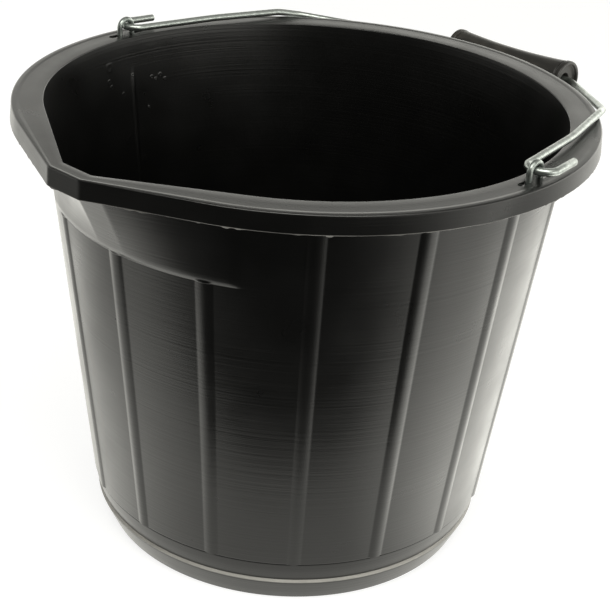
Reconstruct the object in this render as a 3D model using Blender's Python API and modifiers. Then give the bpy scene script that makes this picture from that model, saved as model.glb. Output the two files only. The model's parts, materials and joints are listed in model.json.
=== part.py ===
"""Black plastic bucket with a pouring lip, a wire bail and a loose hand grip.

Frame: metres, +Z up, the bucket stands on z = 0. X runs along the bail's hinge axis, -Y is the way
the spout points, and +Y is where the bail lies at rest. The origin is the middle of the whole
object's footprint on the ground, so the bucket's own axis stands a little towards -Y.
"""
import bpy
import math
from mathutils import Matrix, Vector

MM = 0.001

# ---- Driving dimensions, in millimetres ------------------------------------------------------
AXIS_Y = -7.6             # bucket axis, measured from the middle of the footprint
HEIGHT = 259.4            # top face of the rim flange
CLEAR = 0.3               # gap left between pieces that touch

WALL = 2.0                # moulded wall thickness
MOUTH_R = 147.2           # inner edge of the flange
FLANGE_R = 162.5          # outer edge of the flange
BEAD_H = 0.6              # raised bead just inside the flange's outer edge
SKIRT_R = 163.4           # lower outer edge of the skirt
SKIRT_DROP = 10.0         # how far the skirt hangs below the flange's top

WALL_TOP_R = 147.1        # outer wall carried up to the rim plane
WALL_LOW_R = 119.9        # outer wall where the ribs end
WALL_LOW_Z = 29.5
BAND_STEP = 0.5           # the band below the ribs is set in by this much

FOOT_TOP_R = 116.8
FOOT_TOP_Z = 14.5
FOOT_LOW_R = 110.4
FOOT_WALL = 2.8
FLOOR_Z = 12.5            # inside face of the floor
FLOOR_WALL = 2.5

RIBS = 16
RIB_HEIGHT = 1.1
RIB_COLUMNS = (-1.4, -0.6, 0.6, 1.4)      # degrees from a rib's middle
PANEL_COLUMNS = (3.8, 11.25, 18.7)        # degrees; the first is also the nose's corner
SPOUT_CORNER = math.radians(3.8)
SPOUT_MOUTH_R = 166.0     # inner edge of the flange at the nose's corners
SPOUT_FLANGE_R = 174.0    # outer edge of the flange at the nose's corners
BIB_Z = 208.0             # where the flare under the spout starts
BIB_STEP = 0.8            # how far its lower edge stands proud of the wall

EYE_X = 153.2             # middle of each wire eyelet, out from the bucket's axis
EYE_WIRE_R = 1.65
EYE_SPAN = 9.6            # between the two legs
EYE_TOP = 10.8            # height of the arch above the flange
EYE_FOOT = 15.5           # reach of each foot along the rim, from the eyelet's middle
EYE_BEND_R = 3.0
SLOT_END = 13.0           # far end of the slot that the foot was fed through

BAIL_R = 2.1
HINGE_Z = HEIGHT + 4.9
BAIL_TILT = math.radians(1.05)            # the arms lie this far below level
HOOK_R = 8.0
HOOK_END = (158.4, 27.0)                  # bail outline: across, out from the hinge
ARM_KINK = (136.3, 59.0)
RIM_CROSSING = (123.2, 105.0)             # where the arm passes over the flange's edge
BAIL_SHOULDER = (117.6, 117.6)
BAIL_CORNER = (58.5, 177.0)
BAIL_DROOP = 12.5                         # the crosspiece hangs this far below the arms' plane

GRIP_FROM = -30.0
GRIP_TO = 56.0
GRIP_END_R = 12.5
GRIP_WAIST_R = 10.4
GRIP_BORE_R = 3.0
GRIP_RECESS = 2.0
GRIP_LIP = 1.6

SMOOTH = math.radians(35)

WALL_SLOPE = (WALL_TOP_R - WALL_LOW_R) / (HEIGHT - WALL_LOW_Z)
FLANGE_LOW = HEIGHT - WALL


def wall_radius(z):
    """Outer radius of the plain wall at height z."""
    return WALL_LOW_R + WALL_SLOPE * (z - WALL_LOW_Z)


# ---- Scene helpers -----------------------------------------------------------------------------
def clear_scene():
    for obj in list(bpy.data.objects):
        bpy.data.objects.remove(obj, do_unlink=True)


def make_collection(name):
    collection = bpy.data.collections.new(name)
    bpy.context.scene.collection.children.link(collection)
    return collection


def material(name, colour, roughness, metallic=0.0):
    mat = bpy.data.materials.new(name)
    mat.use_nodes = True
    shader = mat.node_tree.nodes["Principled BSDF"]
    shader.inputs["Base Color"].default_value = (*colour, 1.0)
    shader.inputs["Roughness"].default_value = roughness
    shader.inputs["Metallic"].default_value = metallic
    return mat


def millimetres(points):
    return [tuple(value * MM for value in point) for point in points]


def link(name, data, collection, mat=None):
    obj = bpy.data.objects.new(name, data)
    collection.objects.link(obj)
    if mat:
        data.materials.append(mat)
    return obj


def evaluated_mesh(obj):
    """The object's mesh with its modifiers or bevel applied."""
    graph = bpy.context.evaluated_depsgraph_get()
    return bpy.data.meshes.new_from_object(obj.evaluated_get(graph))


def turned(name, profile, steps, collection, mat=None):
    """A profile of (radius, height) turned round Z with a Screw modifier."""
    mesh = bpy.data.meshes.new(name)
    verts = millimetres([(radius, 0.0, height) for radius, height in profile])
    edges = [(i, i + 1) for i in range(len(verts) - 1)]
    if profile[0][0] > 0.0:
        edges.append((len(verts) - 1, 0))
    mesh.from_pydata(verts, edges, [])
    obj = link(name, mesh, collection, mat)
    screw = obj.modifiers.new("turn", "SCREW")
    screw.axis = "Z"
    screw.steps = steps
    screw.render_steps = steps
    screw.use_merge_vertices = True
    screw.merge_threshold = 0.00002
    screw.use_smooth_shade = True
    return obj


def wire(name, points, radius, collection, mat):
    """A round wire through the points, with flat cut ends."""
    curve = bpy.data.curves.new(name, "CURVE")
    curve.dimensions = "3D"
    curve.bevel_depth = radius * MM
    curve.bevel_resolution = 2
    curve.use_fill_caps = True
    spline = curve.splines.new("POLY")
    spline.points.add(len(points) - 1)
    for slot, point in zip(spline.points, millimetres(points)):
        slot.co = (*point, 1.0)
    return link(name, curve, collection, mat)


def rounded(corners, radii, steps):
    """A path through the corners, each inner corner replaced by an arc of its own radius."""
    path = [Vector(corners[0])]
    for before, corner, after, radius in zip(corners, corners[1:], corners[2:], radii):
        corner = Vector(corner)
        back = (Vector(before) - corner).normalized()
        ahead = (Vector(after) - corner).normalized()
        half = back.angle(ahead) / 2.0
        setback = radius / math.tan(half)
        middle = corner + (back + ahead).normalized() * (radius / math.sin(half))
        start = corner + back * setback - middle
        end = corner + ahead * setback - middle
        turn = start.angle(end)
        for step in range(steps + 1):
            share = step / steps
            weight_a = math.sin((1.0 - share) * turn) / math.sin(turn)
            weight_b = math.sin(share * turn) / math.sin(turn)
            path.append(middle + start * weight_a + end * weight_b)
    path.append(Vector(corners[-1]))
    return path


# ---- Bucket shell --------------------------------------------------------------------------------
def shell_profile():
    """Half section of the bucket: up the inside, over the rim and down the outside."""
    foot_slope = (FOOT_TOP_R - FOOT_LOW_R) / FOOT_TOP_Z
    floor_low = FLOOR_Z - FLOOR_WALL
    inside = [
        (0.0, FLOOR_Z),
        (104.0, FLOOR_Z),
        (111.5, 15.5),
        (116.0, 22.0),
        (WALL_LOW_R - WALL, WALL_LOW_Z),
        (wall_radius(BIB_Z) - WALL, BIB_Z),
        (wall_radius(FLANGE_LOW) - WALL, FLANGE_LOW),
    ]
    rim = [
        (MOUTH_R, HEIGHT),
        (FLANGE_R - 3.6, HEIGHT),
        (FLANGE_R - 2.0, HEIGHT + BEAD_H),
        (FLANGE_R - 0.6, HEIGHT + BEAD_H * 0.4),
        (FLANGE_R + 0.2, HEIGHT - 1.2),
        (SKIRT_R, HEIGHT - SKIRT_DROP),
        (SKIRT_R - 1.8, HEIGHT - SKIRT_DROP),
        (FLANGE_R - 1.8, FLANGE_LOW),
        (wall_radius(FLANGE_LOW), FLANGE_LOW),
    ]
    outside = [
        (wall_radius(BIB_Z + BIB_STEP), BIB_Z + BIB_STEP),
        (wall_radius(BIB_Z), BIB_Z),
        (WALL_LOW_R, WALL_LOW_Z),
        (WALL_LOW_R - BAND_STEP, WALL_LOW_Z - BAND_STEP),
        (118.4, 22.0),
        (116.6, 17.6),
        (114.6, 15.6),
        (FOOT_TOP_R - 0.5, FOOT_TOP_Z + 0.2),
        (FOOT_TOP_R, FOOT_TOP_Z - 0.8),
        (FOOT_LOW_R, 0.0),
        (FOOT_LOW_R - FOOT_WALL, 0.0),
        (FOOT_LOW_R - FOOT_WALL + foot_slope * floor_low, floor_low),
        (0.0, floor_low),
    ]
    return inside + rim + outside


def shell_columns():
    """Where the shell's upright edges stand: close together at each rib, wider between them."""
    pitch = 360.0 / RIBS
    offsets = sorted(RIB_COLUMNS + PANEL_COLUMNS)
    return [math.radians(rib * pitch + offset) for rib in range(RIBS) for offset in offsets]


def spout_outline(angle, circle_r, nose_r):
    """Radius of a circle drawn out to a flat nose, whose flanks are tangents to the circle.

    angle is measured from the spout's middle.
    """
    angle = abs(angle)
    if angle <= SPOUT_CORNER:
        return nose_r * math.cos(SPOUT_CORNER) / math.cos(angle)
    tangent = SPOUT_CORNER + math.acos(circle_r / nose_r)
    if angle >= tangent:
        return circle_r
    return circle_r / math.cos(tangent - angle)


def nose_radius(radius):
    """How far a circle of the rim reaches at the nose's corners: the flange narrows there."""
    share = (radius - MOUTH_R) / (FLANGE_R - MOUTH_R)
    return SPOUT_MOUTH_R + share * (SPOUT_FLANGE_R - SPOUT_MOUTH_R)


def shaped_radius(radius, z, angle, outer, on_rib):
    """Radius of a shell point once the spout, the flare under it and the ribs are added."""
    if z >= FLANGE_LOW - 0.01 or radius > MOUTH_R:
        return spout_outline(angle, radius, nose_radius(radius))
    top_r = wall_radius(FLANGE_LOW) - (0.0 if outer else WALL)
    excess = spout_outline(angle, top_r, nose_radius(top_r)) - top_r
    if z > BIB_Z + 0.1 and excess > 0.0:
        step = BIB_STEP if outer else 0.0
        return radius + step + (excess - step) * (z - BIB_Z) / (FLANGE_LOW - BIB_Z)
    if outer and on_rib:
        return radius + RIB_HEIGHT
    return radius


def shape_shell(mesh):
    """Gather the turned columns round the ribs, then push out the ribs and draw out the spout."""
    columns = shell_columns()
    pitch = 2.0 * math.pi / len(columns)
    per_rib = len(RIB_COLUMNS) + len(PANEL_COLUMNS)
    crest = (1, 2)
    for vertex in mesh.vertices:
        radius = math.hypot(vertex.co.x, vertex.co.y) / MM
        z = vertex.co.z / MM
        if radius < 0.01:
            continue
        index = round(math.atan2(vertex.co.y, vertex.co.x) / pitch) % len(columns)
        azimuth = columns[index]
        outer = abs(radius - wall_radius(z)) < 0.05 and WALL_LOW_Z - 0.01 <= z < FLANGE_LOW + 0.01
        on_rib = index % per_rib in crest
        from_spout = math.remainder(azimuth + math.pi / 2.0, 2.0 * math.pi)
        new_radius = shaped_radius(radius, z, from_spout, outer, on_rib) * MM
        vertex.co.x = new_radius * math.cos(azimuth)
        vertex.co.y = new_radius * math.sin(azimuth)


def slot_cutter(side, along, collection):
    """A box that cuts one foot slot through the flange beside an eyelet."""
    near = EYE_SPAN / 2.0 - EYE_WIRE_R - CLEAR
    width = 2.0 * (EYE_WIRE_R + CLEAR)
    bpy.ops.mesh.primitive_cube_add(size=1.0)
    obj = bpy.context.object
    obj.name = "slot_cutter_%s_%s" % ("right" if side > 0 else "left", "back" if along > 0 else "front")
    size = Vector((width, SLOT_END - near, 4.0 * WALL)) * MM
    centre = Vector((side * EYE_X, AXIS_Y + along * (near + SLOT_END) / 2.0, HEIGHT - WALL / 2.0)) * MM
    obj.data.transform(Matrix.Translation(centre) @ Matrix.Diagonal((*size, 1.0)))
    obj.hide_render = True
    obj.display_type = "WIRE"
    for holder in list(obj.users_collection):
        holder.objects.unlink(obj)
    collection.objects.link(obj)
    return obj


def bucket_shell(parts, cutters, mat):
    guide = turned("shell_guide", shell_profile(), len(shell_columns()), parts)
    mesh = evaluated_mesh(guide)
    bpy.data.objects.remove(guide, do_unlink=True)
    shape_shell(mesh)
    mesh.transform(Matrix.Translation((0.0, AXIS_Y * MM, 0.0)))
    shell = link("bucket_shell", mesh, parts, mat)
    mesh.shade_smooth()
    mesh.set_sharp_from_angle(angle=SMOOTH)
    for side in (1, -1):
        for along in (1, -1):
            cut = shell.modifiers.new("slot", "BOOLEAN")
            cut.object = slot_cutter(side, along, cutters)
            cut.operation = "DIFFERENCE"
            cut.solver = "EXACT"
    return shell


# ---- Wire eyelets ----------------------------------------------------------------------------------
def eyelet(name, side, parts, mat):
    """An arch of wire whose legs pass through the flange and turn outwards under it."""
    half = EYE_SPAN / 2.0
    spring = HEIGHT + EYE_TOP - EYE_WIRE_R - half
    foot_z = FLANGE_LOW - CLEAR - EYE_WIRE_R
    leg = rounded([(0, EYE_FOOT, foot_z), (0, half, foot_z), (0, half, spring)], [EYE_BEND_R], 3)
    arch_steps = 8
    arch = []
    for step in range(1, arch_steps):
        turn = math.pi * step / arch_steps
        arch.append(Vector((0.0, half * math.cos(turn), spring + half * math.sin(turn))))
    other = [Vector((point.x, -point.y, point.z)) for point in reversed(leg)]
    offset = Vector((side * EYE_X, AXIS_Y, 0.0))
    return wire(name, [point + offset for point in leg + arch + other], EYE_WIRE_R, parts, mat)


# ---- Bail and grip -----------------------------------------------------------------------------------
def bail_point(across, out):
    """A point of the bail's outline at rest, relative to the hinge's middle."""
    crossing_out = RIM_CROSSING[1]
    droop = max(0.0, out - crossing_out) / (BAIL_CORNER[1] - crossing_out) * BAIL_DROOP
    y = out * math.cos(BAIL_TILT) - droop * math.sin(BAIL_TILT)
    z = -out * math.sin(BAIL_TILT) - droop * math.cos(BAIL_TILT)
    return Vector((across, y, z))


def bail_half():
    """The right half of the bail, from its cut end in the hook to the corner before the grip."""
    across = EYE_X - 0.3
    hook = []
    steps = 8
    for step in range(steps + 1):
        turn = math.pi * step / steps
        hook.append((across + HOOK_R * math.cos(turn), HOOK_R - HOOK_R * math.sin(turn)))
    outline = [HOOK_END] + hook
    corners = [bail_point(*hook[-1]), bail_point(*ARM_KINK), bail_point(*RIM_CROSSING),
               bail_point(*BAIL_SHOULDER), bail_point(*BAIL_CORNER), bail_point(0.0, BAIL_CORNER[1])]
    arm = rounded(corners, [120.0, 25.0, 14.0, 9.0], 4)
    return [bail_point(*point) for point in outline] + arm[1:-1]


def bail(parts, pivot, mat):
    half = bail_half()
    other = [Vector((-point.x, point.y, point.z)) for point in reversed(half)]
    bail_wire = wire("bail_wire", half + other, BAIL_R, parts, mat)
    bail_wire.parent = pivot
    return bail_wire


def grip_profile():
    """Half section of the grip along its axis: the bore first, then the outside back again."""
    length = GRIP_TO - GRIP_FROM
    collar = 5.0
    middle = length / 2.0
    inside_r = GRIP_END_R - GRIP_LIP
    waist = []
    steps = 6
    for step in range(steps + 1):
        share = step / steps
        radius = GRIP_WAIST_R + (GRIP_END_R - 0.4 - GRIP_WAIST_R) * (2.0 * share - 1.0) ** 2
        waist.append((radius, collar + (length - 2.0 * collar) * (1.0 - share)))
    assert abs(waist[steps // 2][1] - middle) < 0.001
    return [
        (GRIP_BORE_R, GRIP_RECESS),
        (GRIP_BORE_R, length - GRIP_RECESS),
        (inside_r, length - GRIP_RECESS),
        (inside_r, length),
        (GRIP_END_R - 0.4, length),
        (GRIP_END_R, length - 0.6),
        (GRIP_END_R, length - collar + 0.8),
    ] + waist + [
        (GRIP_END_R, collar - 0.8),
        (GRIP_END_R, 0.6),
        (GRIP_END_R - 0.4, 0.0),
        (inside_r, 0.0),
        (inside_r, GRIP_RECESS),
    ]


def grip(parts, pivot, mat):
    """The hand grip: a loose tube that hangs on the bail's crosspiece."""
    hang = GRIP_BORE_R - BAIL_R - CLEAR
    wire_middle = bail_point(0.0, BAIL_CORNER[1])
    obj = turned("hand_grip", grip_profile(), 24, parts, mat)
    obj.parent = pivot
    place = Vector((GRIP_FROM, wire_middle.y, wire_middle.z - hang)) * MM
    obj.matrix_basis = Matrix.Translation(place) @ Matrix.Rotation(math.pi / 2.0, 4, "Y")
    return obj


# ---- Assembly -------------------------------------------------------------------------------------------
def main():
    clear_scene()
    parts = make_collection("bucket")
    cutters = make_collection("cutters")
    shell_black = material("shell_black", (0.012, 0.012, 0.011), 0.38)
    eyelet_zinc = material("eyelet_zinc", (0.52, 0.54, 0.53), 0.35, 0.9)
    bail_zinc = material("bail_zinc", (0.62, 0.64, 0.64), 0.3, 0.9)
    grip_black = material("grip_black", (0.022, 0.021, 0.019), 0.5)

    bucket_shell(parts, cutters, shell_black)
    eyelet("eyelet_right", 1, parts, eyelet_zinc)
    eyelet("eyelet_left", -1, parts, eyelet_zinc)

    pivot = bpy.data.objects.new("bail_pivot", None)
    parts.objects.link(pivot)
    pivot.location = Vector((0.0, AXIS_Y, HINGE_Z)) * MM
    bail(parts, pivot, bail_zinc)
    grip(parts, pivot, grip_black)
    bpy.context.view_layer.update()


main()
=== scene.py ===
"""The florist bucket's looks: the fine moulded shell, galvanised wire, the grip, and a plain studio."""
import json
import math
import bpy
import numpy as np
from mathutils import Matrix, Vector

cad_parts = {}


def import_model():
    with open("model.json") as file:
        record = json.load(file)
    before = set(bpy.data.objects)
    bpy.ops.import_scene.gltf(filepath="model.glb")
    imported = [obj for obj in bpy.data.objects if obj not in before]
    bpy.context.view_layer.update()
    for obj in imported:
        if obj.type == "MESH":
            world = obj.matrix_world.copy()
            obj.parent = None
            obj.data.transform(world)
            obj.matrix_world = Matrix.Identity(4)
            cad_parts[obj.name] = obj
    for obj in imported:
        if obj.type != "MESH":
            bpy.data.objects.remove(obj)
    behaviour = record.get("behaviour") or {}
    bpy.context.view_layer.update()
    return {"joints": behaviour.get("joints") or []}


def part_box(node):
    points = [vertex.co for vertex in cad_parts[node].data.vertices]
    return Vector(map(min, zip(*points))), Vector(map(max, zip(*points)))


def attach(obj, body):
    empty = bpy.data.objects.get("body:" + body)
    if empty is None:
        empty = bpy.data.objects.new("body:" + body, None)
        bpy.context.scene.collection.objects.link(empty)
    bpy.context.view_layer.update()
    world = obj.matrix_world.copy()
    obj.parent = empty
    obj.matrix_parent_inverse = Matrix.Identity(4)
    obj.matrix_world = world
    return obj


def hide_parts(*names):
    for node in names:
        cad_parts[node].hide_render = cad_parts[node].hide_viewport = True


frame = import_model()

MM = 0.001
JOINTS = {joint["name"]: joint for joint in frame["joints"]}
HINGE = Vector(JOINTS["bail_swing"]["pos_m"]) / MM
AXIS_Y = HINGE.y                          # the bucket's own axis stands here


def box_mm(node):
    """Lowest and highest corners of a CAD node, in millimetres."""
    low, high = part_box(node)
    return low / MM, high / MM


# ---- Sizes of the moulding, in millimetres -----------------------------------------------------
BEAD_H = 0.6
HEIGHT = box_mm("bucket_shell")[1].z - BEAD_H
WALL = 2.0
MOUTH_R = 147.2
FLANGE_R = 162.5
SKIRT_R = box_mm("bucket_shell")[1].x
SKIRT_DROP = 10.0
FLANGE_LOW = HEIGHT - WALL
WALL_TOP_R = 147.1
WALL_LOW_R = 119.9
WALL_LOW_Z = 29.5
BAND_STEP = 0.45
FOOT_TOP_R = 116.8
FOOT_TOP_Z = 14.5
LEDGE_IN_R = 116.1                        # a narrow sloping ledge runs round the foot's top
LEDGE_TOP_Z = 16.4
LEDGE_OUT_R = 117.3
LEDGE_LOW_Z = 15.2
FOOT_LOW_R = 110.4
FOOT_WALL = 2.8
FLOOR_Z = 12.5
FLOOR_LOW = 10.0
GATE_DISC_R = 12.0                        # a shallow disc under the floor round the gate mark
GATE_R = 4.0
WALL_SLOPE = (WALL_TOP_R - WALL_LOW_R) / (HEIGHT - WALL_LOW_Z)

RIBS = 16
RIB_H = 1.05
RIB_HALF_TOP = 5.2        # half width of a rib under the rim
RIB_HALF_LOW = 4.1        # and at its foot
SPOUT_CORNER = math.radians(3.8)
SPOUT_MOUTH_R = 166.0
SPOUT_FLANGE_R = 174.0
SPOUT_SOFTNESS = math.radians(0.4)
BIB_Z = 208.0
BIB_STEP = 1.4
BIB_LIP = 0.7                             # the flare's lower edge starts this far below BIB_Z
BIB_CURL = 6.0                            # and swells out over this height
BIB_FADE = math.radians(3.5)              # the flare's sides melt into the wall over this angle
FLOW_LINE = math.radians(181.5)           # a faint raised line down the inside
FLOW_LINE_TOP = 236.0
FLOW_LINE_H = 0.5
FLASH_H = 0.24                            # flash under the skirt, for each unit of the summed waves
SPLASHES = (                              # azimuth in degrees, height and radius in millimetres
    (181.5, 236.5, 1.3),
    (189.2, 245.0, 3.6),
    (189.8, 236.5, 1.8),
    (189.0, 233.0, 1.4),
    (185.0, 226.0, 1.7),
    (175.4, 232.5, 1.5),
    (174.2, 230.8, 1.3),
    (172.8, 232.8, 1.7),
    (171.4, 229.9, 1.3),
    (184.4, 196.8, 3.2),
    (179.6, 182.3, 2.2),
    (176.9, 214.0, 1.2),
)


def wall_radius(z):
    return WALL_LOW_R + WALL_SLOPE * (z - WALL_LOW_Z)


def inner_radius(z):
    """The inside of the wall, which thins slightly towards the rim."""
    return wall_radius(z) - WALL + 0.2 * (z - WALL_LOW_Z) / (HEIGHT - WALL_LOW_Z)


def smoothstep(low, high, value):
    t = np.clip((value - low) / (high - low), 0.0, 1.0)
    return t * t * (3.0 - 2.0 * t)


# ---- Material helpers --------------------------------------------------------------------------
MAP_RANGE_SLOTS = ("From Min", "From Max", "To Min", "To Max")


class Surface:
    """A Principled material with short names for adding nodes and joining them."""

    def __init__(self, name, colour, roughness, metallic=0.0):
        self.mat = bpy.data.materials.new(name)
        self.mat.use_nodes = True
        self.tree = self.mat.node_tree
        self.shader = self.tree.nodes["Principled BSDF"]
        self.shader.inputs["Base Color"].default_value = (*colour, 1.0)
        self.shader.inputs["Roughness"].default_value = roughness
        self.shader.inputs["Metallic"].default_value = metallic
        self.place = self.node("ShaderNodeTexCoord").outputs["Object"]

    def node(self, kind, **settings):
        made = self.tree.nodes.new(kind)
        for key, value in settings.items():
            if key in made.inputs:
                made.inputs[key].default_value = value
            else:
                setattr(made, key, value)
        return made

    def join(self, source, target):
        self.tree.links.new(source, target)

    def noise(self, scale, stretch=(1.0, 1.0, 1.0), detail=3.0, roughness=0.5):
        """Noise in object space; stretch makes it streak."""
        mapping = self.node("ShaderNodeMapping")
        mapping.inputs["Scale"].default_value = stretch
        self.join(self.place, mapping.inputs["Vector"])
        noise = self.node("ShaderNodeTexNoise", Scale=scale, Detail=detail, Roughness=roughness)
        self.join(mapping.outputs["Vector"], noise.inputs["Vector"])
        return noise.outputs["Fac"]

    def spread(self, source, from_low, from_high, low, high):
        """Map one range of a value to another, clamped."""
        ramp = self.node("ShaderNodeMapRange")
        for slot, value in zip(MAP_RANGE_SLOTS, (from_low, from_high, low, high)):
            ramp.inputs[slot].default_value = value
        self.join(source, ramp.inputs["Value"])
        return ramp.outputs["Result"]

    def maths(self, operation, first, second):
        node = self.node("ShaderNodeMath", operation=operation)
        for slot, value in zip(node.inputs, (first, second)):
            if isinstance(value, float):
                slot.default_value = value
            else:
                self.join(value, slot)
        return node.outputs["Value"]

    def blend(self, factor, first, second):
        """Mix two colours; each is a triple or another node's output."""
        node = self.node("ShaderNodeMix", data_type="RGBA")
        self.join(factor, node.inputs["Factor"])
        slots = [slot for slot in node.inputs if slot.type == "RGBA"]
        for slot, colour in zip(slots, (first, second)):
            if isinstance(colour, tuple):
                slot.default_value = (*colour, 1.0)
            else:
                self.join(colour, slot)
        return [slot for slot in node.outputs if slot.type == "RGBA"][0]

    def bump(self, heights):
        """Chain bumps: each height is (socket, distance in metres)."""
        normal = None
        for socket, distance in heights:
            bump = self.node("ShaderNodeBump", Strength=1.0, Distance=distance)
            self.join(socket, bump.inputs["Height"])
            if normal:
                self.join(normal, bump.inputs["Normal"])
            normal = bump.outputs["Normal"]
        self.join(normal, self.shader.inputs["Normal"])


POLYPROPYLENE_IOR = 1.49
BLACK = (0.0017, 0.0017, 0.0016)
SCUFFED = (0.0036, 0.0035, 0.0032)
# Pale base colour painted on as a highlight, on the foot's ledge and the skirt's lower edge.
PALE_HIGHLIGHT = (0.3, 0.292, 0.272)
LINE_DEPTH = 0.000035                     # bump distances, in metres
FINE_LINE_DEPTH = 0.00006
MOTTLE_DEPTH = 0.00006
GRAIN_DEPTH = 0.00002
SPLASH_DEPTH = 0.00015


def moulded_black():
    """Black polypropylene: fine tooling lines all round, mottled gloss, scuffs, and a painted highlight in
    pale base colour on the foot's ledge and the skirt's lower edge.
    """
    surface = Surface("shell_black", (0.0018, 0.0018, 0.0017), 0.3)
    surface.shader.inputs["IOR"].default_value = POLYPROPYLENE_IOR
    lines = surface.noise(1.0, (4.0, 4.0, 500.0), detail=2.0, roughness=0.6)
    fine_lines = surface.noise(1.0, (5.0, 5.0, 1050.0), detail=1.0)
    mottle = surface.noise(38.0, detail=4.0)
    grain = surface.noise(1800.0, detail=2.0)
    scuffs = surface.noise(60.0, (1.0, 1.0, 5.0), detail=6.0, roughness=0.75)
    worn = surface.spread(scuffs, 0.63, 0.74, 0.0, 1.0)
    gloss = surface.spread(mottle, 0.3, 0.7, 0.27, 0.34)
    # Painted highlight: the foot's ledge is coloured pale, standing in for the bright ring that light draws
    # there.
    ledge = highlight_ring(surface, LEDGE_IN_R, LEDGE_LOW_Z, LEDGE_TOP_Z)
    skirt_low = HEIGHT - SKIRT_DROP
    # Painted highlight: a broken pale line along the skirt's lower edge, mottled in strength.
    skirt_edge_highlight = highlight_ring(surface, FLANGE_R - 1.0, skirt_low - 2.0, skirt_low + 0.3)
    skirt_edge_highlight = surface.maths("MULTIPLY", skirt_edge_highlight, surface.spread(mottle, 0.35, 0.65, 0.05, 0.5))
    painted_highlight = surface.maths("MULTIPLY", ledge, surface.spread(scuffs, 0.3, 0.6, 0.75, 1.0))
    painted_highlight = surface.maths("MAXIMUM", painted_highlight, skirt_edge_highlight)
    gloss = surface.maths("ADD", gloss, surface.maths("MULTIPLY", worn, 0.05))
    gloss = surface.maths("ADD", gloss, surface.maths("MULTIPLY", painted_highlight, 0.2))
    surface.join(gloss, surface.shader.inputs["Roughness"])
    tint = surface.blend(worn, BLACK, SCUFFED)
    # The pale painted highlights are mixed into the base colour here.
    surface.join(surface.blend(painted_highlight, tint, PALE_HIGHLIGHT), surface.shader.inputs["Base Color"])
    surface.bump([
        (lines, LINE_DEPTH),
        (fine_lines, FINE_LINE_DEPTH),
        (mottle, MOTTLE_DEPTH),
        (grain, GRAIN_DEPTH),
        (inner_marks(surface), SPLASH_DEPTH),
    ])
    return surface.mat


def highlight_ring(surface, inner_r, low, high):
    """One on a ring outside inner_r and between two heights, where a pale highlight is painted, zero
    elsewhere.
    """
    out = surface.node("ShaderNodeVectorMath", operation="MULTIPLY_ADD")
    out.inputs[1].default_value = (1.0, 1.0, 0.0)
    out.inputs[2].default_value = (0.0, -AXIS_Y * MM, 0.0)
    surface.join(surface.place, out.inputs[0])
    radius = surface.node("ShaderNodeVectorMath", operation="LENGTH")
    surface.join(out.outputs["Vector"], radius.inputs[0])
    height = surface.node("ShaderNodeSeparateXYZ")
    surface.join(surface.place, height.inputs["Vector"])
    outside = surface.spread(radius.outputs["Value"], (inner_r - 0.8) * MM, (inner_r - 0.4) * MM, 0.0, 1.0)
    over = surface.spread(height.outputs["Z"], (low - 0.5) * MM, (low + 0.1) * MM, 0.0, 1.0)
    under = surface.spread(height.outputs["Z"], (high + 0.25) * MM, (high - 0.05) * MM, 0.0, 1.0)
    return surface.maths("MULTIPLY", outside, surface.maths("MULTIPLY", over, under))


def inner_marks(surface):
    """Dried splashes and small blemishes high on the inner wall, each a raised ring with a dip inside."""
    total = None
    for azimuth, z, size in SPLASHES:
        radius = wall_radius(z) - WALL
        turn = math.radians(azimuth)
        centre = Vector((radius * math.cos(turn), radius * math.sin(turn) + AXIS_Y, z))
        distance = surface.node("ShaderNodeVectorMath", operation="DISTANCE")
        distance.inputs[1].default_value = centre * MM
        surface.join(surface.place, distance.inputs[0])
        off = distance.outputs["Value"]
        outer = surface.spread(off, 1.1 * size * MM, 0.6 * size * MM, 0.0, 1.0)
        inner = surface.spread(off, 0.15 * size * MM, 0.6 * size * MM, 0.35, 1.0)
        ring = surface.maths("MULTIPLY", outer, inner)
        total = surface.maths("MAXIMUM", total, ring) if total else ring
    return total


EYELET_BRIGHT = (0.37, 0.4, 0.38)
EYELET_DULL = (0.18, 0.2, 0.19)
EYELET_ROUGHNESS = 0.36
BAIL_BRIGHT = (0.44, 0.47, 0.45)
BAIL_DULL = (0.29, 0.315, 0.3)
BAIL_ROUGHNESS = 0.34


def galvanised(name, colour, dark, roughness):
    """Zinc-coated wire: a mottled coat with dull patches and small pits."""
    surface = Surface(name, colour, roughness, 1.0)
    patches = surface.noise(420.0, detail=5.0, roughness=0.65)
    marks = surface.noise(2600.0, detail=3.0)
    tone = surface.spread(patches, 0.35, 0.65, 0.0, 1.0)
    surface.join(surface.blend(tone, dark, colour), surface.shader.inputs["Base Color"])
    surface.join(surface.spread(patches, 0.3, 0.7, roughness + 0.14, roughness - 0.04),
                 surface.shader.inputs["Roughness"])
    surface.bump([(patches, 0.00003), (marks, 0.00001)])
    return surface.mat


def grip_plastic():
    """Matt black plastic, greyed by handling."""
    surface = Surface("grip_black", (0.016, 0.015, 0.014), 0.42)
    wear = surface.noise(90.0, (0.35, 1.0, 1.0), detail=6.0, roughness=0.7)
    grain = surface.noise(1500.0, detail=3.0)
    worn = surface.spread(wear, 0.48, 0.66, 0.0, 1.0)
    surface.join(surface.blend(worn, (0.012, 0.0112, 0.0098), (0.032, 0.0285, 0.0235)),
                 surface.shader.inputs["Base Color"])
    surface.join(surface.spread(wear, 0.35, 0.65, 0.36, 0.5), surface.shader.inputs["Roughness"])
    surface.bump([(wear, 0.00012), (grain, 0.00003)])
    return surface.mat


# ---- Mesh helpers ------------------------------------------------------------------------------
def make_mesh(name, verts, faces, mat):
    """A smooth-shaded mesh object from millimetre coordinates."""
    mesh = bpy.data.meshes.new(name)
    mesh.from_pydata((np.asarray(verts) * MM).tolist(), [], faces)
    mesh.shade_smooth()
    mesh.materials.append(mat)
    obj = bpy.data.objects.new(name, mesh)
    bpy.context.scene.collection.objects.link(obj)
    return obj


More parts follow.
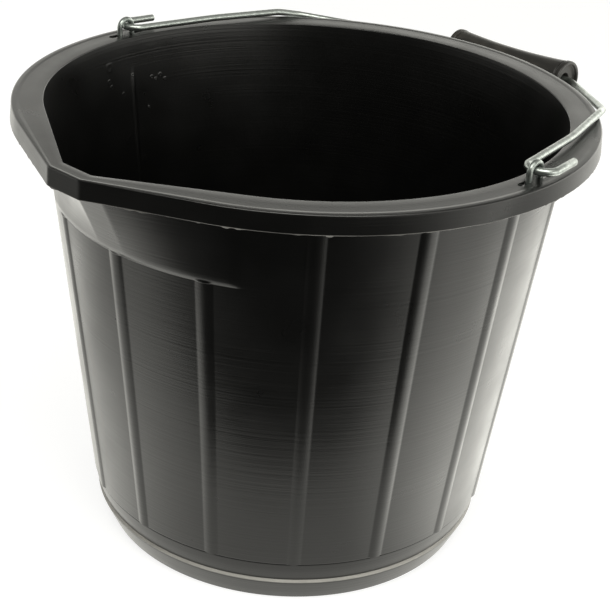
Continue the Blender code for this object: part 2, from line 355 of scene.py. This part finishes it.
def ring_faces(rows, columns, closed_rows=False):
    """Quads between neighbouring rings of points, each ring closed on itself."""
    faces = []
    last = rows if closed_rows else rows - 1
    for row in range(last):
        here = row * columns
        there = (row + 1) % rows * columns
        for column in range(columns):
            after = (column + 1) % columns
            faces.append((here + column, here + after, there + after, there + column))
    return faces


def corner_arc(before, corner, after, radius, arc_step, least_steps):
    """Points of the arc that rounds a corner of a path, or the corner itself where it is sharp."""
    back = (before - corner).normalized()
    ahead = (after - corner).normalized()
    half = back.angle(ahead) / 2.0
    turn = math.pi - 2.0 * half
    if radius <= 0.0 or turn < 0.01:
        return [corner]
    reach = radius / math.tan(half)
    middle = corner + (back + ahead).normalized() * (radius / math.sin(half))
    start = corner + back * reach - middle
    end = corner + ahead * reach - middle
    steps = max(least_steps, math.ceil(turn / arc_step))
    points = []
    for step in range(steps + 1):
        share = step / steps
        first = math.sin((1.0 - share) * turn) / math.sin(turn)
        second = math.sin(share * turn) / math.sin(turn)
        points.append(middle + start * first + end * second)
    return points


def fillet_outline(corners, longest=9.0, arc_step=math.radians(14.0)):
    """Points along (radius, height, fillet) corners: arcs at the fillets, long runs divided."""
    corners = [(Vector((r, z)), fillet) for r, z, fillet in corners]
    line = [corners[0][0]]
    for (before, _), (corner, fillet), (after, _) in zip(corners, corners[1:], corners[2:]):
        line += corner_arc(before, corner, after, fillet, arc_step, 2)
    line.append(corners[-1][0])
    points = [line[0]]
    for point in line[1:]:
        pieces = max(1, math.ceil((point - points[-1]).length / longest))
        origin = points[-1]
        points += [origin.lerp(point, piece / pieces) for piece in range(1, pieces + 1)]
    return np.array([tuple(point) for point in points])


def smooth_path(corners, radii, arc_step=math.radians(9.0)):
    """A 3D path with an arc of its own radius at each inner corner."""
    corners = [Vector(corner) for corner in corners]
    path = [corners[0]]
    for before, corner, after, radius in zip(corners, corners[1:], corners[2:], radii):
        path += corner_arc(before, corner, after, radius, arc_step, 3)
    path.append(corners[-1])
    return path


def wire(name, path, radius, mat, sides=28, cut=0.5):
    """A round wire swept along a path, its two sheared ends slightly rounded."""
    points = np.array([tuple(point) for point in path])
    keep = np.r_[True, np.linalg.norm(np.diff(points, axis=0), axis=1) > 0.02]
    points = points[keep]
    tangents = np.gradient(points, axis=0)
    tangents /= np.linalg.norm(tangents, axis=1)[:, None]
    side = np.cross(tangents[0], (0.13, 0.21, 0.97))
    rings = []
    for point, tangent in zip(points, tangents):
        side = side - tangent * side.dot(tangent)
        side /= np.linalg.norm(side)
        rings.append((point, tangent, side, np.cross(tangent, side)))
    caps = ((0.0, cut), (0.3 * cut, 0.3 * cut), (cut, 0.0))
    stations = []
    first, last = rings[0], rings[-1]
    for inward, shrink in caps:
        stations.append((first[0] + first[1] * inward, radius - shrink, first[2], first[3]))
    for ring in rings[1:-1]:
        stations.append((ring[0], radius, ring[2], ring[3]))
    for inward, shrink in reversed(caps):
        stations.append((last[0] - last[1] * inward, radius - shrink, last[2], last[3]))
    angles = np.arange(sides) * 2.0 * math.pi / sides
    verts = []
    for centre, reach, along, across in stations:
        verts += [centre + reach * (math.cos(a) * along + math.sin(a) * across) for a in angles]
    faces = ring_faces(len(stations), sides)
    faces.append(tuple(reversed(range(sides))))
    end = (len(stations) - 1) * sides
    faces.append(tuple(range(end, end + sides)))
    obj = make_mesh(name, verts, faces, mat)
    obj.data.set_sharp_from_angle(angle=math.radians(50.0))
    return obj


# ---- Bucket shell ------------------------------------------------------------------------------
def shell_outline():
    """Half section of the moulding, from the middle of the floor over the rim to the underside."""
    inside = [
        (0.01, FLOOR_Z, 0.0),
        (110.5, FLOOR_Z, 7.0),
        (115.6, 21.0, 14.0),
        (inner_radius(WALL_LOW_Z), WALL_LOW_Z, 30.0),
        *[(inner_radius(z), z, 0.0) for z in (FLOW_LINE_TOP - 1.5, FLOW_LINE_TOP, FLOW_LINE_TOP + 1.5)],
        (inner_radius(HEIGHT), HEIGHT, 0.6),
    ]
    rim = [
        (FLANGE_R - 4.4, HEIGHT, 3.0),
        (FLANGE_R - 2.6, HEIGHT + BEAD_H * 0.35, 4.0),
        (FLANGE_R + 0.1, HEIGHT + BEAD_H * 0.25, 0.9),
        (FLANGE_R + 0.25, HEIGHT - 2.4, 3.0),
        (SKIRT_R, HEIGHT - SKIRT_DROP, 0.35),
        (SKIRT_R - 1.8, HEIGHT - SKIRT_DROP, 0.35),
        (FLANGE_R - 2.0, FLANGE_LOW, 1.0),
        (wall_radius(FLANGE_LOW), FLANGE_LOW, 1.2),
    ]
    curl = [BIB_Z - BIB_LIP + BIB_CURL * share ** 1.6 for share in np.linspace(1.0, 0.0, 12)]
    ledge = [BIB_Z + 7.0, *curl, BIB_Z - BIB_LIP - 0.2, BIB_Z - 3.0]
    outside = [(wall_radius(z), z, 0.0) for z in ledge]
    base = [
        (WALL_LOW_R + 0.08, WALL_LOW_Z + 0.8, 0.0),
        (WALL_LOW_R, WALL_LOW_Z + 0.3, 0.0),
        (WALL_LOW_R - 0.1, WALL_LOW_Z, 0.0),
        (WALL_LOW_R - BAND_STEP - 0.45, WALL_LOW_Z - 0.1, 0.1),
        (WALL_LOW_R - BAND_STEP - 0.4, WALL_LOW_Z - 0.5, 0.1),
        (WALL_LOW_R - BAND_STEP, WALL_LOW_Z - 0.7, 0.25),
        (118.6, 22.5, 40.0),
        (LEDGE_IN_R, LEDGE_TOP_Z, 0.12),
        (LEDGE_OUT_R, LEDGE_LOW_Z, 0.4),
        (FOOT_TOP_R, FOOT_TOP_Z - 0.8, 2.0),
        (FOOT_LOW_R, 0.0, 0.9),
        (FOOT_LOW_R - FOOT_WALL, 0.0, 0.9),
        (FOOT_LOW_R - FOOT_WALL + 3.9, FLOOR_LOW, 2.5),
        (GATE_DISC_R, FLOOR_LOW, 0.0),
        (GATE_DISC_R - 0.6, FLOOR_LOW - 0.5, 0.3),
        (GATE_R, FLOOR_LOW - 0.5, 0.0),
        (GATE_R - 0.4, FLOOR_LOW - 1.6, 0.4),
        (0.01, FLOOR_LOW - 1.8, 0.0),
    ]
    return fillet_outline(inside + rim + outside + base)


def shell_columns():
    """Azimuths of the mesh's upright edges: crowded at ribs, at the spout's corners and the flow line."""
    pitch = 2.0 * math.pi / RIBS
    across_rib = np.radians(np.linspace(-2.7, 2.7, 28))
    panel = np.linspace(across_rib[-1], pitch + across_rib[0], 17)[1:-1]
    columns = [rib * pitch + offset for rib in range(RIBS) for offset in (*across_rib, *panel)]
    spout = -math.pi / 2.0
    for side in (1.0, -1.0):
        columns += list(spout + side * (SPOUT_CORNER + np.radians(np.linspace(-1.0, 1.0, 13))))
        columns += list(spout + side * (bib_edge() - np.linspace(-0.1, 1.1, 9) * BIB_FADE))
    columns += list(FLOW_LINE + np.radians(np.linspace(-0.9, 0.9, 13)))
    columns = np.sort(np.mod(columns, 2.0 * math.pi))
    keep = np.r_[True, np.diff(columns) > math.radians(0.06)]
    return columns[keep]


def bib_edge():
    """How far the flare reaches to each side of the spout's middle."""
    return SPOUT_CORNER + math.acos(MOUTH_R / SPOUT_MOUTH_R)


def sharp_outline(angle, circle_r, nose_r):
    """A circle drawn out to a flat nose whose flanks are tangents to it."""
    tangent = SPOUT_CORNER + np.arccos(circle_r / nose_r)
    nose = nose_r * math.cos(SPOUT_CORNER) / np.cos(np.minimum(angle, SPOUT_CORNER))
    flank = circle_r / np.cos(np.clip(tangent - angle, 0.0, 1.2))
    return np.where(angle <= SPOUT_CORNER, nose, np.where(angle >= tangent, circle_r, flank))


def spout_outline(angle, circle_r):
    """The outline with its corners softened; the flange narrows towards the nose."""
    share = (circle_r - MOUTH_R) / (FLANGE_R - MOUTH_R)
    nose_r = SPOUT_MOUTH_R + share * (SPOUT_FLANGE_R - SPOUT_MOUTH_R)
    taps = np.linspace(-1.0, 1.0, 7) * SPOUT_SOFTNESS
    return np.mean([sharp_outline(np.abs(angle + tap), circle_r, nose_r) for tap in taps], axis=0)


def rib_height(azimuth, z):
    """Height of the nearest rib above the wall: a low arch across its width."""
    pitch = 2.0 * math.pi / RIBS
    off = np.abs(np.mod(azimuth + pitch / 2.0, pitch) - pitch / 2.0) * wall_radius(z)
    share = (z - WALL_LOW_Z) / (HEIGHT - WALL_LOW_Z)
    half = RIB_HALF_LOW + share * (RIB_HALF_TOP - RIB_HALF_LOW)
    arch = np.clip(1.0 - (off / half) ** 2, 0.0, 1.0)
    return RIB_H * arch ** 1.15


def flash(azimuth):
    """Thin ragged flash along the skirt's lower edge, from a sum of unrelated waves."""
    waves = sum(np.sin(azimuth * step + step * step * 0.37) for step in (23, 41, 67, 103, 149, 211))
    return FLASH_H * np.clip(waves - 0.8, 0.0, 2.6)


def shell_vertices(outline, columns):
    """Every point of the shell, ring by ring, with spout, flare, ribs, flash and flow line added."""
    spout_angle = np.abs(np.arctan2(np.sin(columns + math.pi / 2.0), np.cos(columns + math.pi / 2.0)))
    top = int(np.argmax(outline[:, 1]))
    rings = []
    for index, (radius, z) in enumerate(outline):
        inner = index < top
        ring = np.full(len(columns), radius)
        height = np.full(len(columns), z)
        if radius > MOUTH_R or z >= FLANGE_LOW - 0.01:
            ring = spout_outline(spout_angle, radius)
        elif z > BIB_Z - BIB_LIP - 0.1:
            top_r = wall_radius(FLANGE_LOW) - (WALL if inner else 0.0)
            excess = spout_outline(spout_angle, top_r) - top_r
            rise = np.clip((z - BIB_Z) / (FLANGE_LOW - BIB_Z), 0.0, 1.0)
            ring = radius + excess * rise
            if not inner:
                inside_bib = 1.0 - smoothstep(bib_edge() - BIB_FADE, bib_edge(), spout_angle)
                swell = 1.0 - (1.0 - np.clip((z - BIB_Z + BIB_LIP) / BIB_CURL, 0.0, 1.0)) ** 2.6
                ring = ring + BIB_STEP * swell * (1.0 - rise) ** 3 * inside_bib
                covered = inside_bib * smoothstep(BIB_Z - BIB_LIP, BIB_Z + 1.0, z)
                ring += rib_height(columns, z) * (1.0 - covered)
        elif not inner and z >= WALL_LOW_Z + 0.2:
            ring = radius + rib_height(columns, z)
        if inner and FLOOR_Z + 4.0 < z < FLOW_LINE_TOP + 2.0:
            across = np.abs(np.arctan2(np.sin(columns - FLOW_LINE), np.cos(columns - FLOW_LINE))) * radius
            bulge = FLOW_LINE_H * (1.0 - smoothstep(0.4, 2.1, across))
            ring = ring - bulge * (1.0 - smoothstep(FLOW_LINE_TOP - 1.6, FLOW_LINE_TOP + 1.6, z))
        if not inner and z < HEIGHT - SKIRT_DROP + 0.5 and radius > SKIRT_R - 1.9:
            height = height - flash(columns)
        points = np.stack([ring * np.cos(columns), ring * np.sin(columns) + AXIS_Y, height], axis=1)
        rings.append(points)
    return np.concatenate(rings)


def slot_cutter(boxes):
    """Round-ended prisms that cut the eyelets' slots through the flange."""
    verts, faces = [], []
    for x, near, far, half in boxes:
        start = len(verts)
        count = 24
        low, high = min(near, far) + half, max(near, far) - half
        for z in (FLANGE_LOW - 2.0, HEIGHT + 2.0):
            for step in range(count):
                turn = 2.0 * math.pi * (step + 0.5) / count
                centre = high if math.sin(turn) > 0.0 else low
                verts.append((x + half * math.cos(turn), AXIS_Y + centre + half * math.sin(turn), z))
        for step in range(count):
            after = (step + 1) % count
            faces.append((start + step, start + after, start + count + after, start + count + step))
        faces.append(tuple(start + step for step in reversed(range(count))))
        faces.append(tuple(start + count + step for step in range(count)))
    mesh = bpy.data.meshes.new("slot_cutter")
    mesh.from_pydata((np.asarray(verts) * MM).tolist(), [], faces)
    obj = bpy.data.objects.new("slot_cutter", mesh)
    bpy.context.scene.collection.objects.link(obj)
    return obj


def bucket_shell(mat):
    outline = shell_outline()
    columns = shell_columns()
    verts = shell_vertices(outline, columns)
    rows, count = len(outline), len(columns)
    faces = [tuple(reversed(face)) for face in ring_faces(rows, count)]
    faces.append(tuple(range(count)))
    end = (rows - 1) * count
    faces.append(tuple(reversed(range(end, end + count))))
    shell = make_mesh("moulded_shell", verts, faces, mat)
    half = EYE_WIRE_R + 0.35
    near = EYE_SPAN / 2.0 - half
    slots = [(side * EYE_X, along * near, along * SLOT_END, half) for side in (1, -1) for along in (1, -1)]
    cutter = slot_cutter(slots)
    cut = shell.modifiers.new("slots", "BOOLEAN")
    cut.object = cutter
    cut.solver = "EXACT"
    graph = bpy.context.evaluated_depsgraph_get()
    cut_mesh = bpy.data.meshes.new_from_object(shell.evaluated_get(graph))
    shell.modifiers.clear()
    shell.data = cut_mesh
    bpy.data.objects.remove(cutter, do_unlink=True)
    shell.data.set_sharp_from_angle(angle=math.radians(50.0))
    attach(shell, "bucket")
    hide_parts("bucket_shell")
    return shell


# ---- Eyelets -----------------------------------------------------------------------------------
EYE_LOW, EYE_HIGH = box_mm("eyelet_right")
EYE_X = (EYE_LOW.x + EYE_HIGH.x) / 2.0
EYE_WIRE_R = 1.65
EYE_SPAN = 9.6
EYE_FOOT = 15.5
EYE_BEND_R = 3.0
SLOT_END = 13.0


def eyelet(name, node, side, mat):
    """An arch of wire, its legs pushed through the flange and turned out beneath it."""
    half = EYE_SPAN / 2.0
    spring = EYE_HIGH.z - EYE_WIRE_R - half
    foot_z = EYE_LOW.z + EYE_WIRE_R
    leg = smooth_path([(0, EYE_FOOT, foot_z), (0, half, foot_z), (0, half, spring)], [EYE_BEND_R])
    steps = 20
    arch = []
    for step in range(1, steps):
        turn = math.pi * step / steps
        arch.append(Vector((0.0, half * math.cos(turn), spring + half * math.sin(turn))))
    other = [Vector((point.x, -point.y, point.z)) for point in reversed(leg)]
    offset = Vector((side * EYE_X, AXIS_Y, 0.0))
    piece = wire(name, [point + offset for point in leg + arch + other], EYE_WIRE_R, mat)
    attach(piece, "bucket")
    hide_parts(node)


# ---- Bail --------------------------------------------------------------------------------------
BAIL_R = 2.1
BAIL_TILT = math.radians(1.05)
HOOK_R = 8.0
HOOK_END = (158.4, 27.0)
ARM_KINK = (136.3, 59.0)
RIM_CROSSING = (123.2, 105.0)
BAIL_SHOULDER = (117.6, 117.6)
BAIL_CORNER = (58.5, 177.0)
BAIL_DROOP = 12.5
BAIL_BENDS = (120.0, 25.0, 14.0, 9.0)     # bend radii from the hook to the crosspiece
BAIL_INSET = 0.3                          # the hook's middle lies this far inside the eyelet's


def bail_point(across, out):
    """A point of the bail's outline at rest: level arms, and a crosspiece bent down over the rim."""
    crossing_out = RIM_CROSSING[1]
    droop = max(0.0, out - crossing_out) / (BAIL_CORNER[1] - crossing_out) * BAIL_DROOP
    y = out * math.cos(BAIL_TILT) - droop * math.sin(BAIL_TILT)
    z = -out * math.sin(BAIL_TILT) - droop * math.cos(BAIL_TILT)
    return HINGE + Vector((across, y, z))


def bail(mat):
    across = EYE_X - BAIL_INSET
    steps = 20
    hook = []
    for step in range(steps + 1):
        turn = math.pi * step / steps
        hook.append(bail_point(across + HOOK_R * math.cos(turn), HOOK_R - HOOK_R * math.sin(turn)))
    arm = smooth_path(
        [hook[-1], bail_point(*ARM_KINK), bail_point(*RIM_CROSSING), bail_point(*BAIL_SHOULDER),
         bail_point(*BAIL_CORNER), bail_point(0.0, BAIL_CORNER[1])],
        BAIL_BENDS, math.radians(5.0))
    half = [bail_point(*HOOK_END)] + hook + arm[1:-1]
    other = [Vector((-point.x, point.y, point.z)) for point in reversed(half)]
    piece = wire("galvanised_bail", half + other, BAIL_R, mat, sides=32)
    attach(piece, "bail")
    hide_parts("bail_wire")


# ---- Grip --------------------------------------------------------------------------------------
def grip(mat):
    """The flared hand grip: a rim at each end, a recessed face, two mould seams along it."""
    low, high = box_mm("hand_grip")
    length = high.x - low.x
    end_r = (high.z - low.z) / 2.0
    bore_r = 3.0
    waist_r = 10.4
    face_r = end_r - 1.9
    recess = 2.2
    rim = 3.2
    half = [
        (bore_r, length / 2.0, 0.0),
        (bore_r, recess + 6.0, 0.5),
        (bore_r + 1.6, recess + 4.5, 0.5),
        (bore_r + 1.8, recess, 0.5),
        (face_r, recess, 0.6),
        (face_r + 0.1, 0.0, 0.85),
        (end_r, 0.0, 0.85),
        (end_r, rim, 0.5),
        (end_r - 1.1, rim + 0.3, 0.25),
        (end_r - 1.1, rim + 1.0, 0.25),
    ]
    steps = 14
    for step in range(steps + 1):
        share = step / steps
        flare = (1.0 - share) ** 2
        along = rim + 1.2 + (length / 2.0 - rim - 1.2) * share
        half.append((waist_r + (end_r - 0.5 - waist_r) * flare, along, 0.4 if step == 0 else 0.0))
    section = fillet_outline(half, longest=4.0)
    mirrored = [(radius, length - along) for radius, along in section[::-1][1:-1]]
    section = np.concatenate([section, mirrored])
    sides = 96
    angles = np.arange(sides) * 2.0 * math.pi / sides
    seam = 0.16 * np.maximum(0.0, 1.0 - np.abs(np.sin(angles)) * 14.0)
    centre_y, centre_z = (low.y + high.y) / 2.0, (low.z + high.z) / 2.0
    verts = []
    for radius, along in section:
        on_skin = rim + 1.0 < along < length - rim - 1.0 and radius > bore_r + 1.0
        ring = radius + (seam if on_skin else np.zeros(sides))
        x = np.full(sides, low.x + along)
        y = centre_y + ring * np.cos(angles)
        z = centre_z + ring * np.sin(angles)
        verts.append(np.stack([x, y, z], axis=1))
    verts = np.concatenate(verts)
    faces = ring_faces(len(section), sides, closed_rows=True)
    piece = make_mesh("flared_grip", verts, faces, mat)
    piece.data.set_sharp_from_angle(angle=math.radians(50.0))
    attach(piece, "grip")
    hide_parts("hand_grip")


# ---- Studio ------------------------------------------------------------------------------------
CAMERA_PLACE = Vector((528.05, AXIS_Y - 594.75, 532.92)) * MM
CAMERA_HEADING = math.radians(41.21)
CAMERA_PITCH = math.radians(26.82)
CAMERA_ROLL = math.radians(3.53)
CAMERA_LENS = 88.26
TOWARDS_CAMERA = Vector((math.sin(CAMERA_HEADING), -math.cos(CAMERA_HEADING), 0.0))
RIGHT_OF_CAMERA = Vector((math.cos(CAMERA_HEADING), math.sin(CAMERA_HEADING), 0.0))
STUDIO_TINT = (1.0, 0.99, 0.92)
FAR_WHITE = 0.96                          # between the far floor's tones, so low views show little horizon
FLOOR_SIZE = 8.0
FLOOR_GLOW = 0.77
CARD_SIZE = 4.0
CARD_LIFT = 0.0002
TABLE_EDGE = 0.228                        # the mirrored table top ends this far towards the camera
SOFT_BOX_WIDTH = 1.3
SOFT_BOX_DEPTH = 0.6
SOFT_BOX_POWER = 19.0
SOFT_BOX_OUT = 0.72                       # towards the camera
SOFT_BOX_HEIGHT = 1.32
SOFT_BOX_AIM = 0.1                        # it points at this height on the bucket


def camera():
    data = bpy.data.cameras.new("camera")
    data.lens = CAMERA_LENS
    data.sensor_width = 36.0
    data.clip_start = 0.01
    obj = bpy.data.objects.new("camera", data)
    bpy.context.scene.collection.objects.link(obj)
    heading = Matrix.Rotation(CAMERA_HEADING, 4, "Z")
    pitch = Matrix.Rotation(math.pi / 2.0 - CAMERA_PITCH, 4, "X")
    roll = Matrix.Rotation(CAMERA_ROLL, 4, "Z")
    obj.matrix_world = Matrix.Translation(CAMERA_PLACE) @ heading @ pitch @ roll
    bpy.context.scene.camera = obj


def plane(name, width, depth, centre, turn, mat):
    x, y = width / 2.0, depth / 2.0
    mesh = bpy.data.meshes.new(name)
    mesh.from_pydata([(-x, -y, 0), (x, -y, 0), (x, y, 0), (-x, y, 0)], [], [(0, 1, 2, 3)])
    mesh.materials.append(mat)
    obj = bpy.data.objects.new(name, mesh)
    bpy.context.scene.collection.objects.link(obj)
    obj.matrix_world = Matrix.Translation(centre) @ Matrix.Rotation(turn, 4, "Z")
    return obj


def floor():
    """The pale floor that the camera sees; glossy surfaces mirror the table card instead."""
    pale = Surface("floor_pale", (0.32, 0.32, 0.32), 0.9)
    pale.shader.inputs["Emission Color"].default_value = (1.0, 1.0, 1.0, 1.0)
    pale.shader.inputs["Emission Strength"].default_value = FLOOR_GLOW
    pale.mat.cycles.emission_sampling = "NONE"
    ground = plane("floor", FLOOR_SIZE, FLOOR_SIZE, Vector((0.0, 0.0, 0.0)), 0.0, pale.mat)
    ground.visible_glossy = False


def table_card():
    """The white table top as glossy surfaces mirror it: uneven, and ending in front of the bucket.

    ahead is 1 towards the camera and -1 behind the bucket; X is to the camera's right.
    """
    glow = Surface("card_glow", (0.0, 0.0, 0.0), 1.0)
    glow.shader.inputs["Specular IOR Level"].default_value = 0.0
    glow.shader.inputs["Emission Color"].default_value = (*STUDIO_TINT, 1.0)
    glow.mat.cycles.emission_sampling = "NONE"
    heading = glow.node("ShaderNodeVectorMath", operation="NORMALIZE")
    glow.join(glow.place, heading.inputs[0])
    beside = glow.node("ShaderNodeSeparateXYZ")
    glow.join(heading.outputs["Vector"], beside.inputs["Vector"])
    distance = glow.node("ShaderNodeVectorMath", operation="LENGTH")
    glow.join(glow.place, distance.inputs[0])
    ahead = glow.maths("MULTIPLY", beside.outputs["Y"], -1.0)
    sideways = glow.spread(ahead, 0.95, 0.5, 0.0, 0.7)
    rightward = glow.spread(beside.outputs["X"], 0.38, 0.9, 0.0, 1.1)
    foot = glow.spread(distance.outputs["Value"], 0.115, 0.15, 0.1, 1.0)
    beside_it = glow.maths("MULTIPLY", glow.maths("ADD", sideways, rightward), foot)
    nearby = glow.maths("ADD", beside_it, 1.2)
    far = glow.spread(distance.outputs["Value"], 0.2, 0.34, 1.0, 0.62)
    on_right = glow.maths("MULTIPLY", glow.spread(ahead, 0.75, -0.05, 0.0, 0.95),
                          glow.spread(beside.outputs["X"], 0.0, 0.4, 0.0, 1.0))
    behind_left = glow.maths("MULTIPLY", glow.spread(ahead, 0.05, -0.85, 0.6, 1.35),
                             glow.spread(beside.outputs["X"], 0.1, -0.2, 0.0, 1.0))
    far = glow.maths("MAXIMUM", far, glow.maths("MAXIMUM", on_right, behind_left))
    beyond = glow.spread(distance.outputs["Value"], 0.42, 0.6, 0.0, 1.0)
    shade = glow.maths("MULTIPLY", beyond, glow.spread(ahead, -0.6, 0.0, 0.4, 0.7))
    far = glow.maths("MULTIPLY", far, glow.maths("SUBTRACT", 1.0, shade))
    glow.join(glow.maths("MULTIPLY", nearby, far), glow.shader.inputs["Emission Strength"])
    card = plane("table_card", CARD_SIZE, CARD_SIZE, Vector((0.0, 0.0, CARD_LIFT)), CAMERA_HEADING, glow.mat)
    for vertex in card.data.vertices:
        vertex.co.y = max(vertex.co.y, -TABLE_EDGE)
    card.visible_camera = False
    card.visible_diffuse = False
    card.visible_shadow = False


def towards(degrees):
    """A level direction, turned from the camera's side round to the right."""
    turn = math.radians(degrees)
    return TOWARDS_CAMERA * math.cos(turn) + RIGHT_OF_CAMERA * math.sin(turn)


def world():
    """What glossy surfaces mirror: dark towards the camera, bright behind, and a window to the right.

    The camera itself sees plain white.
    """
    sky = bpy.data.worlds.new("studio")
    sky.use_nodes = True
    tree = sky.node_tree
    tree.nodes.clear()

    def node(kind, **settings):
        made = tree.nodes.new(kind)
        for key, value in settings.items():
            if key in made.inputs:
                made.inputs[key].default_value = value
            else:
                setattr(made, key, value)
        return made

    def ramp(source, low, high, to_low, to_high):
        made = node("ShaderNodeMapRange", interpolation_type="SMOOTHSTEP")
        for slot, value in zip(MAP_RANGE_SLOTS, (low, high, to_low, to_high)):
            made.inputs[slot].default_value = value
        tree.links.new(source, made.inputs["Value"])
        return made.outputs["Result"]

    def combine(operation, *sources):
        result = sources[0]
        for source in sources[1:]:
            made = node("ShaderNodeMath", operation=operation)
            tree.links.new(result, made.inputs[0])
            tree.links.new(source, made.inputs[1])
            result = made.outputs["Value"]
        return result

    direction = node("ShaderNodeTexCoord").outputs["Generated"]
    parts = node("ShaderNodeSeparateXYZ")
    tree.links.new(direction, parts.inputs["Vector"])
    height = parts.outputs["Z"]
    levelled = node("ShaderNodeCombineXYZ")
    tree.links.new(parts.outputs["X"], levelled.inputs["X"])
    tree.links.new(parts.outputs["Y"], levelled.inputs["Y"])
    heading = node("ShaderNodeVectorMath", operation="NORMALIZE")
    tree.links.new(levelled.outputs["Vector"], heading.inputs[0])

    def facing(degrees):
        made = node("ShaderNodeVectorMath", operation="DOT_PRODUCT")
        made.inputs[1].default_value = towards(degrees)
        tree.links.new(heading.outputs["Vector"], made.inputs[0])
        return made.outputs["Value"]

    around = combine("MULTIPLY",
                     ramp(facing(0.0), 0.1, 0.88, 1.9, 0.04),
                     ramp(facing(120.0), 0.45, 0.95, 1.0, 1.7),
                     ramp(facing(-50.0), 0.6, 0.95, 1.0, 0.35))
    backdrop = combine("MULTIPLY", around, ramp(height, 0.25, 0.4, 0.92, 0.15))
    window = combine("MULTIPLY", ramp(facing(47.0), 0.84, 0.97, 0.0, 2.3),
                     ramp(height, 0.0, 0.08, 0.0, 1.0), ramp(height, 0.38, 0.5, 1.0, 0.0))
    light = node("ShaderNodeBackground", Color=(*STUDIO_TINT, 1.0))
    tree.links.new(combine("ADD", backdrop, window), light.inputs["Strength"])
    white = node("ShaderNodeBackground", Color=(FAR_WHITE, FAR_WHITE, FAR_WHITE, 1.0), Strength=1.0)
    rays = node("ShaderNodeLightPath")
    mix = node("ShaderNodeMixShader")
    tree.links.new(rays.outputs["Is Camera Ray"], mix.inputs["Fac"])
    tree.links.new(light.outputs["Background"], mix.inputs[1])
    tree.links.new(white.outputs["Background"], mix.inputs[2])
    out = node("ShaderNodeOutputWorld")
    tree.links.new(mix.outputs["Shader"], out.inputs["Surface"])
    bpy.context.scene.world = sky


def soft_box():
    """A wide soft box above the camera's side, for the rounded edges, the wire and the foot's ledge."""
    data = bpy.data.lights.new("soft_box", "AREA")
    data.shape = "RECTANGLE"
    data.size = SOFT_BOX_WIDTH
    data.size_y = SOFT_BOX_DEPTH
    data.energy = SOFT_BOX_POWER
    data.color = STUDIO_TINT
    obj = bpy.data.objects.new("soft_box", data)
    bpy.context.scene.collection.objects.link(obj)
    place = TOWARDS_CAMERA * SOFT_BOX_OUT + Vector((0.0, 0.0, SOFT_BOX_HEIGHT))
    aim = (Vector((0.0, 0.0, SOFT_BOX_AIM)) - place).to_track_quat("-Z", "Y")
    obj.matrix_world = Matrix.Translation(place) @ aim.to_matrix().to_4x4()
    obj.visible_camera = False


def main():
    bpy.context.scene.view_settings.view_transform = "Standard"
    camera()
    world()
    floor()
    table_card()
    soft_box()
    bucket_shell(moulded_black())
    zinc = galvanised("eyelet_zinc", EYELET_BRIGHT, EYELET_DULL, EYELET_ROUGHNESS)
    eyelet("staple_right", "eyelet_right", 1, zinc)
    eyelet("staple_left", "eyelet_left", -1, zinc)
    bail(galvanised("bail_zinc", BAIL_BRIGHT, BAIL_DULL, BAIL_ROUGHNESS))
    grip(grip_plastic())


main()
